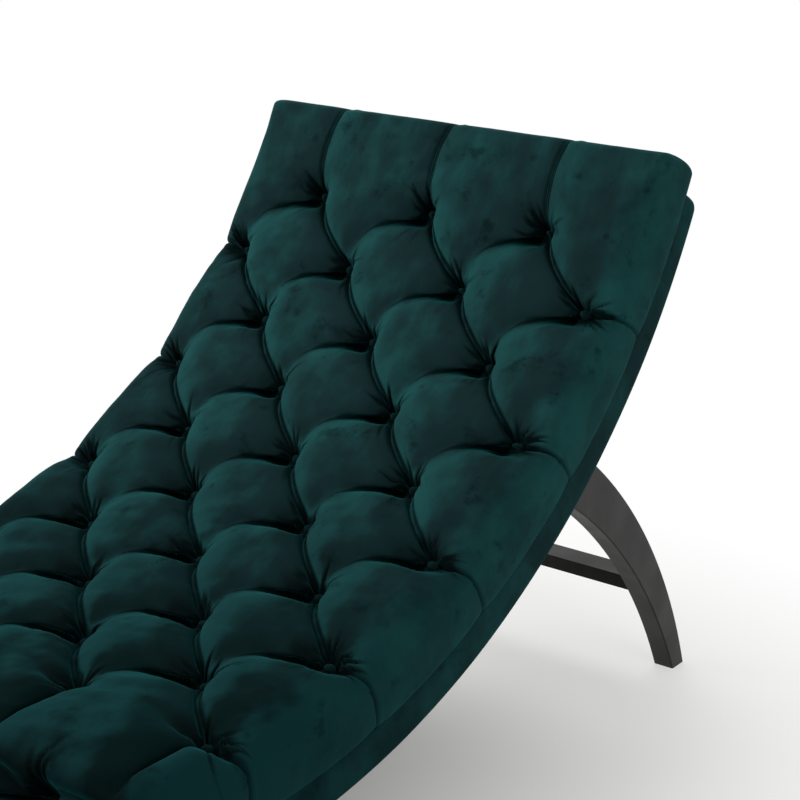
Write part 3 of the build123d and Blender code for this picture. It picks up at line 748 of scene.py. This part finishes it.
def tuft_buttons():
    """All buttons, copied from one and set in their places."""
    first = covered_button()
    buttons = []
    for x, s, _ in spots:
        y, z = place(s, 0.0)
        turn = slope_at(s)
        button = first.copy()
        button.data = first.data.copy()
        bpy.context.scene.collection.objects.link(button)
        button.rotation_euler = (turn, 0, chance.uniform(0, pi))
        out = Vector((0, -sin(turn), cos(turn)))
        button.location = Vector((x, float(y), float(z))) / 1000 + out * button_lift
        buttons.append(button)
    bpy.data.objects.remove(first)
    bpy.ops.object.select_all(action="DESELECT")
    for button in buttons:
        button.select_set(True)
    bpy.context.view_layer.objects.active = buttons[0]
    bpy.ops.object.join()
    joined = bpy.context.object
    joined.name = "covered_buttons"
    bpy.ops.object.transform_apply(location=True, rotation=True, scale=True)
    return joined


def plan_path(side, low, high, corner, step):
    """Points and outward directions round a plan with round corners, in order."""
    path = []
    right, left, head, foot = side - corner, corner - side, low + corner, high - corner
    corners = ((right, foot, 0), (left, foot, 90), (left, head, 180), (right, head, 270))
    for center_x, center_s, first in corners:
        for degree in np.linspace(first, first + 90, 8):
            turn = radians(degree)
            path.append((center_x + corner * cos(turn), center_s + corner * sin(turn), cos(turn), sin(turn)))
    full = []
    for here, there in zip(path, path[1:] + path[:1]):
        count = max(1, int(np.hypot(there[0] - here[0], there[1] - here[1]) / step))
        for index in range(count):
            share = index / count
            full.append([h + (t - h) * share for h, t in zip(here, there)])
    return np.array(full).T


def velvet_band():
    """The strip of velvet stretched round the rails, with a rolled hem."""
    x, s, out_x, out_s = plan_path(band_side, band_start, seat_length, band_corner, band_step)
    soft = ripples(x + 0.4 * s, s, 160, 8, 31)
    middle = (band_top + band_bottom) / 2
    turned_edge = [(-2.1, band_top - 1.2), (-1.3, band_top - 0.1), (-0.4, band_top - 0.6)]
    face = [(0.1, band_top - 3.0), (0.5, band_top - 10), (0.9, middle), (0.7, band_bottom + 9)]
    hem = [(0.3, band_bottom + 3.2), (-0.5, band_bottom + 0.9), (-1.3, band_bottom + 0.2),
           (-2.0, band_bottom + 0.9)]
    back = [(-2.2, band_bottom + 4), (-2.2, middle)]
    points, faces, count = [], [], len(x)
    outline = turned_edge + face + hem + back
    for index, (outset, level) in enumerate(outline):
        out = outset + (0.35 * soft if 3 <= index <= 8 else 0.0)
        sag = 0.25 * soft if 7 <= index <= 10 else 0.0
        points.append(in_metres(x + out_x * out, s + out_s * out, np.full(count, level) + sag))
        first = index * count + np.arange(count)
        second = (index + 1) % len(outline) * count + np.arange(count)
        faces += ring_faces(first, second)
    made = add_mesh("velvet_band", np.concatenate(points), faces)
    # The band's painted light is an even, middling share
    write_share(made, "brushed", np.full(len(outline) * count, 0.5))
    return made


def underside_cloth():
    """The thin cloth under the frame, stretched between the rails, with slits for the legs."""
    cover_end = seat_length - cover_end_gap
    slit_edges = [sign * edge for sign in (-1, 1) for edge in slit_across]
    x_stops = np.unique(np.concatenate([np.linspace(-cover_side, cover_side, 45), slit_edges]))
    s_stops = np.unique(np.concatenate([np.linspace(cover_start, cover_end, 120), *slit_along]))
    across, along = np.meshgrid(x_stops, s_stops)
    inner = smooth(0, 26, cover_side - np.abs(across)) * smooth(0, 26, along - cover_start)
    inner = inner * smooth(0, 26, cover_end - along)
    height = cover_level - inner * (0.25 + 0.35 * ripples(across, along, 120, 10, 41))
    plan_x, plan_s = rounded_plan(across, along, cover_side, cover_start, cover_end, cover_corner)
    number = np.arange(across.size).reshape(across.shape)
    middle_x = (across[:-1, :-1] + across[:-1, 1:]) / 2
    middle_s = (along[:-1, :-1] + along[1:, :-1]) / 2
    open_x = (np.abs(middle_x) > slit_across[0]) & (np.abs(middle_x) < slit_across[1])
    open_s = np.any([(middle_s > low) & (middle_s < high) for low, high in slit_along], axis=0)
    quads = np.stack([number[:-1, :-1], number[1:, :-1], number[1:, 1:], number[:-1, 1:]], -1)
    closed = quads[~(open_x & open_s)].tolist()
    made = add_mesh("underside_cloth", in_metres(plan_x, plan_s, height), closed)
    thickness = made.modifiers.new("thickness", "SOLIDIFY")
    thickness.thickness = cover_thickness
    thickness.offset = 0.0
    bpy.ops.object.modifier_apply(modifier="thickness")
    return made


class Value:
    """A socket that takes part in Python expressions, each of which adds its Math node."""

    def __init__(self, finish, socket):
        self.finish, self.socket = finish, socket

    def __add__(self, other):
        return self.finish.math("ADD", self, other)

    def __radd__(self, other):
        return self.finish.math("ADD", other, self)

    def __mul__(self, other):
        return self.finish.math("MULTIPLY", self, other)

    def __rmul__(self, other):
        return self.finish.math("MULTIPLY", other, self)

    def __sub__(self, other):
        return self.finish.math("SUBTRACT", self, other)

    def __rsub__(self, other):
        return self.finish.math("SUBTRACT", other, self)

    def __pow__(self, other):
        return self.finish.math("POWER", self, other)

    def __rpow__(self, other):
        return self.finish.math("POWER", other, self)


class Finish:
    """The nodes of one material, or of the world."""

    def __init__(self, owner):
        owner.use_nodes = True
        self.owner, self.tree = owner, owner.node_tree
        self.tree.nodes.clear()

    def node(self, kind, settings=None, inputs=None, output=0):
        """Adds a node: its settings first, then the values or the links of its sockets."""
        made = self.tree.nodes.new(kind)
        for key, value in (settings or {}).items():
            setattr(made, key, value)
        for key, value in (inputs or {}).items():
            if isinstance(value, Value):
                self.tree.links.new(value.socket, made.inputs[key])
            else:
                made.inputs[key].default_value = value
        return Value(self, made.outputs[output]) if made.outputs else None

    def math(self, operation, *values):
        """A Math node on these values."""
        return self.node("ShaderNodeMath", {"operation": operation}, dict(enumerate(values)))

    def place(self):
        """The point on the piece, in metres."""
        return self.node("ShaderNodeTexCoord", output="Object")

    def place_along(self, axis):
        """The point's distance along X, Y or Z."""
        return self.node("ShaderNodeSeparateXYZ", inputs={0: self.place()}, output=axis)

    def stored(self, name):
        """A number that the mesh keeps on each of its points."""
        return self.node("ShaderNodeAttribute", {"attribute_name": name}, output="Fac")

    def noise(self, scale, detail=3.0, roughness=0.5, stretch=None):
        """Cloudy noise over the piece, from 0 to 1."""
        point = self.place()
        if stretch:
            point = self.node("ShaderNodeMapping", inputs={"Vector": point, "Scale": stretch})
        return self.node("ShaderNodeTexNoise", inputs={"Vector": point, "Scale": scale, "Detail": detail,
                                                        "Roughness": roughness})

    def between(self, share, low, high):
        """A colour between two, by share."""
        return self.node("ShaderNodeMix", {"data_type": "RGBA"}, {0: share, 6: low, 7: high}, output=2)

    def step(self, value, low, high, from_value=0.0, to_value=1.0):
        """A soft step of a value between two levels."""
        return self.node("ShaderNodeMapRange", {"interpolation_type": "SMOOTHSTEP"},
                         {0: value, 1: low, 2: high, 3: from_value, 4: to_value})

    def bump(self, height, distance, strength):
        """The normal of a surface with this relief."""
        return self.node("ShaderNodeBump", inputs={"Height": height, "Distance": distance,
                                                    "Strength": strength})

    def seen(self):
        """1 where the camera sees it, also by reflection and through glass, and 0 for other light."""
        camera, glossy, through = [self.node("ShaderNodeLightPath", output=ray) for ray in seen_rays]
        return self.math("MAXIMUM", self.math("MAXIMUM", camera, glossy), through)

    def surface(self, **inputs):
        """Closes the material with its shader."""
        named = {key.replace("_", " "): value for key, value in inputs.items()}
        shader = self.node("ShaderNodeBsdfPrincipled", inputs=named)
        self.node("ShaderNodeOutputMaterial", inputs={"Surface": shader})
        return self.owner


def new_finish(name):
    """A new material without nodes."""
    return Finish(bpy.data.materials.new(name))


def color(r, g, b):
    """A colour from screen values of 0 to 255."""
    shares = [value / 255 for value in (r, g, b)]
    linear = [c / 12.92 if c <= 0.04045 else ((c + 0.055) / 1.055) ** 2.4 for c in shares]
    return (*linear, 1.0)


def velvet(name, deep, back, seat):
    """Short velvet with a cloudy nap and dark marks, with painted light on the pillows' flanks and painted
    shade on the seat, in the folds and in the creases.
    """
    finish = new_finish(name)
    clouds = finish.noise(9.0, 4.0, 0.6)
    streaks = finish.noise(30.0, 4.0, 0.65, stretch=(1.0, 0.45, 0.45))
    marks = finish.noise(24.0, 5.0, 0.65)
    # Painted light: the brushed share lightens the left flanks and the right edge, mixed with cloudy tone
    # and streaks
    brushed = finish.stored("brushed")
    nap = finish.step(brushed * 0.24 + clouds * 0.42 + streaks * 0.34, 0.40, 0.70)
    flanks = finish.step(brushed * 0.48 + clouds * 0.28 + streaks * 0.24, 0.41, 0.60)
    # Painted shade: darker colours towards the seat, by the piece's Y
    seat_painted_shade = finish.step(finish.place_along("Y") + (clouds - 0.5) * 0.3, 0.46, -0.28)
    shade = finish.between(seat_painted_shade, finish.between(nap, *back), finish.between(flanks, *seat))
    bruised = finish.step(marks, 0.57, 0.69) * 0.48
    shade = finish.between(bruised, shade, deep)
    # Painted shade, darkening the folds, channels, creases and hollows towards the deepest colour
    shade = finish.between(finish.stored("painted_shade") * 0.95, shade, deep)
    pile = finish.noise(900.0, 2.0) * 0.6 + finish.noise(210.0, 3.0) * 0.4
    return finish.surface(Base_Color=shade, Roughness=0.85, Specular_IOR_Level=0.03, Sheen_Weight=0.14,
                          Sheen_Roughness=0.35, Sheen_Tint=color(50, 185, 186),
                          Normal=finish.bump(pile, 0.0007, 0.4))


def stained_wood(name):
    """Dark stained hardwood under a satin lacquer, with open grain along the piece."""
    finish = new_finish(name)
    grain = finish.noise(34.0, 6.0, 0.62, stretch=(3.0, 1.0, 0.35))
    pores = finish.noise(210.0, 3.0, 0.6, stretch=(3.0, 1.0, 0.18))
    worn = finish.noise(14.0)
    shade = finish.between(finish.step(grain, 0.32, 0.7), color(8, 8, 7), color(21, 20, 18))
    shade = finish.between(finish.step(pores, 0.6, 0.75, 0.0, 0.5), shade, color(10, 9, 8))
    relief = finish.bump(grain * 0.6 + pores * 0.4, 0.0006, 0.25)
    return finish.surface(Base_Color=shade, Roughness=finish.step(worn, 0.3, 0.7, 0.36, 0.48),
                          Specular_IOR_Level=0.22, Normal=relief)


def plain_wood(name, dark, light):
    """Bare planed wood."""
    finish = new_finish(name)
    grain = finish.noise(22.0, 6.0, 0.6, stretch=(0.6, 4.0, 4.0))
    shade = finish.between(finish.step(grain, 0.3, 0.7), dark, light)
    return finish.surface(Base_Color=shade, Roughness=0.68, Normal=finish.bump(grain, 0.0005, 0.3))


def cloth(name, dark, light, scale):
    """Plain cloth, cord or foam with a fine weave or cells."""
    finish = new_finish(name)
    threads = finish.noise(scale, 2.0)
    shade = finish.between(finish.step(threads, 0.3, 0.7), dark, light)
    return finish.surface(Base_Color=shade, Roughness=0.92, Normal=finish.bump(threads, 0.0004, 0.5))


def bare_metal(name):
    """Zinc-plated steel with a fine brushed variation."""
    finish = new_finish(name)
    brushed = finish.noise(180.0, 3.0, 0.6)
    shade = finish.between(brushed, color(168, 168, 164), color(196, 196, 192))
    roughness = finish.step(brushed, 0.2, 0.8, 0.28, 0.44)
    return finish.surface(Base_Color=shade, Metallic=1.0, Roughness=roughness,
                          Normal=finish.bump(brushed, 0.0002, 0.2))


def moulded(name, dark, light):
    """Moulded plastic with a faint texture."""
    finish = new_finish(name)
    texture = finish.noise(420.0, 2.0)
    shade = finish.between(texture, dark, light)
    return finish.surface(Base_Color=shade, Roughness=0.5, Normal=finish.bump(texture, 0.0002, 0.3))


def set_material(piece, material):
    """Gives a piece this material alone."""
    piece.data.materials.clear()
    piece.data.materials.append(material)


def new_piece(piece, material, slot, *replaced):
    """Gives a new piece its material and lets it stand for CAD nodes; the slot is not used."""
    set_material(piece, material)
    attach(piece, "root")
    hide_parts(*replaced)


# Materials
# Velvet colours: the deepest for dark marks and painted shade, a pair for the back, and a darker pair for
# the seat as painted shade
velvet_cloth = velvet("teal_velvet", color(0, 7, 8), (color(18, 39, 41), color(25, 68, 68)),
                      (color(0, 16, 17), color(9, 44, 46)))
# The buttons' velvet is darker all over: painted shade on the buttons
buttons_painted_shade_velvet = velvet("button_velvet_painted_shade", color(0, 7, 8), (color(8, 30, 30), color(16, 42, 42)),
                      (color(2, 20, 20), color(10, 32, 32)))
cambric = cloth("dust_cambric", color(20, 20, 22), color(38, 38, 40), 600.0)
slot_materials = {
    "velvet": velvet_cloth,
    "foam": cloth("pad_foam", color(222, 214, 188), color(236, 230, 208), 700.0),
    "twine": cloth("tufting_twine", color(196, 190, 170), color(222, 216, 198), 900.0),
    "clip_plastic": moulded("clip_nylon", color(34, 34, 34), color(46, 46, 46)),
    "plywood": plain_wood("deck_plywood", color(178, 142, 98), color(210, 176, 128)),
    "cambric": cambric,
    "frame_wood": plain_wood("frame_hardwood", color(168, 132, 92), color(204, 168, 124)),
    "dowel_wood": plain_wood("dowel_beech", color(190, 150, 104), color(216, 180, 134)),
    "zinc_steel": bare_metal("zinc_steel"),
    "espresso_wood": stained_wood("espresso_wood"),
    "glide_plastic": moulded("glide_nylon", color(28, 28, 28), color(40, 40, 40)),
}
for subpart in frame["record"]["subparts"]:
    set_material(frame["nodes"][subpart["node"]], slot_materials[subpart["material_slot"]])

# Pad and buttons
pad = Pad().make()
new_piece(pad, velvet_cloth, "velvet", "tufted_cover", "foam_core")

buttons = tuft_buttons()
new_piece(buttons, buttons_painted_shade_velvet, "velvet", "tuft_buttons")

# Band and dust cover
band = velvet_band()
new_piece(band, velvet_cloth, "velvet", "side_band")

under_cloth = underside_cloth()
new_piece(under_cloth, cambric, "cambric", "dust_cover")


def aim(thing, at, toward):
    """Puts a camera or a lamp at a place and turns it, level, in a direction."""
    thing.location = at
    thing.rotation_mode = "QUATERNION"
    thing.rotation_quaternion = toward.to_track_quat("-Z", "Y")
    bpy.context.scene.collection.objects.link(thing)


def set_camera():
    """The camera, at the photograph's viewing angle."""
    turn, rise = radians(camera_azimuth), radians(camera_elevation)
    camera = bpy.data.objects.new("camera", bpy.data.cameras.new("camera"))
    aim(camera, camera_place, Vector((-sin(turn) * cos(rise), cos(turn) * cos(rise), -sin(rise))))
    camera.data.sensor_width = sensor_mm
    camera.data.lens = camera_focal_px / image_px * sensor_mm
    camera.data.clip_end = 100
    bpy.context.scene.camera = camera


def area_lamp(name, at, target, size, power):
    """A soft square lamp that looks at a point."""
    data = bpy.data.lights.new(name, "AREA")
    data.shape = "SQUARE"
    data.size = size
    data.energy = power
    aim(bpy.data.objects.new(name, data), at, Vector(target) - Vector(at))


def studio_floor():
    """A pale floor that shows the object's shadow near it and fades to white farther away."""
    bpy.ops.mesh.primitive_plane_add(size=40, location=(0, 0, 0))
    floor = bpy.context.object
    floor.name = "floor"
    finish = new_finish("studio_floor")
    pale = finish.between(finish.noise(3.0, 2.0), color(244, 244, 240), color(250, 250, 246))
    matte = finish.node("ShaderNodeBsdfDiffuse", inputs={"Color": pale})
    white = finish.node("ShaderNodeEmission", inputs={"Color": (1, 1, 1, 1), "Strength": 1.0})
    aside = finish.place_along("X")
    past = finish.math("MAXIMUM", finish.math("ABSOLUTE", finish.place_along("Y")) - veil_half_length, 0.0)
    clear = (aside * aside + past * past) ** 0.5
    veil = finish.math("MINIMUM", clear * veil_growth - veil_start, 1.0) * finish.seen()
    mixed = finish.node("ShaderNodeMixShader", inputs={0: veil, 1: matte, 2: white})
    finish.node("ShaderNodeOutputMaterial", inputs={"Surface": mixed})
    set_material(floor, finish.owner)


def white_surround():
    """A world that is white to look at and lights the object softly."""
    world = bpy.data.worlds.new("studio")
    bpy.context.scene.world = world
    finish = Finish(world)
    strength = finish.seen() * (1 - surround_light) + surround_light
    background = finish.node("ShaderNodeBackground", inputs={"Color": (1, 1, 1, 1), "Strength": strength})
    finish.node("ShaderNodeOutputWorld", inputs={"Surface": background})


# Studio
studio_floor()
white_surround()
area_lamp("overhead", (-1.2, 0.9, 3.4), (0.0, 0.1, 0.3), 3.0, 55)
area_lamp("left", (-3.0, -1.9, 2.0), (0.0, 0.2, 0.4), 2.2, 120)
area_lamp("right", (3.4, -0.4, 1.3), (0.0, 0.2, 0.4), 1.8, 34)
set_camera()
bpy.context.scene.view_settings.view_transform = "Standard"
